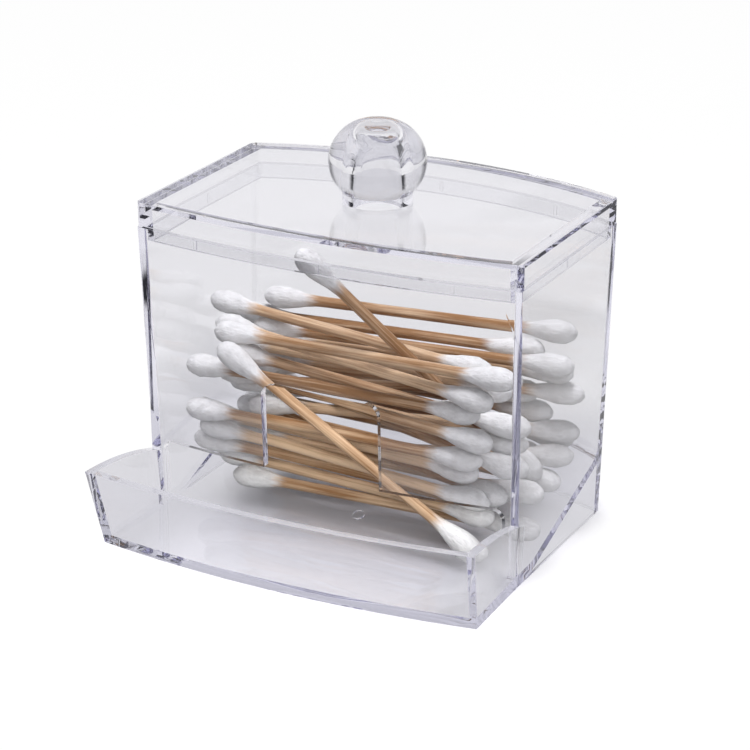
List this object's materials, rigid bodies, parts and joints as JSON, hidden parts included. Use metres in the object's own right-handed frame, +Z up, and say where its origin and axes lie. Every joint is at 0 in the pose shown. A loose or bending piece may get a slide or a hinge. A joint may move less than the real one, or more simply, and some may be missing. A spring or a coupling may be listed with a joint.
{
  "type": "cotton swab holder",
  "caption": "Clear bowed box that dispenses cotton swabs through a slot and finger notch into a front tray, with a lift-off lid, a ball knob and a pile of swabs inside.",
  "frame": {"origin": "on the table plane, under the middle of the whole part's outline", "axes": "+X to the right seen from the front, +Y from the tray towards the back wall, +Z up"},
  "size_m": [0.0914, 0.0848, 0.0898],
  "materials": {
    "clear_box": "clear, polished",
    "clear_lid": "clear, polished",
    "swab": "plain wood stick with white cotton heads"
  },
  "bodies": {
    "holder": {"box": "clear_box", "swab_01": "swab", "swab_02": "swab", "swab_03": "swab", "swab_04": "swab", "swab_05": "swab", "swab_06": "swab", "swab_07": "swab", "swab_08": "swab", "swab_09": "swab", "swab_10": "swab", "swab_11": "swab", "swab_12": "swab", "swab_13": "swab", "swab_14": "swab", "swab_15": "swab", "swab_16": "swab", "swab_17": "swab", "swab_18": "swab", "swab_19": "swab", "swab_20": "swab", "swab_21": "swab", "swab_22": "swab", "swab_23": "swab", "swab_24": "swab", "swab_25": "swab", "swab_26": "swab", "swab_27": "swab", "swab_28": "swab", "swab_29": "swab", "swab_30": "swab", "swab_31": "swab", "swab_32": "swab"},
    "lid": {"lid": "clear_lid"}
  },
  "joints": [
    {"name": "lid_lift", "type": "slide", "parent": "holder", "child": "lid", "axis": [0, 0, 1], "range_m": [0, 0.05]}
  ]
}
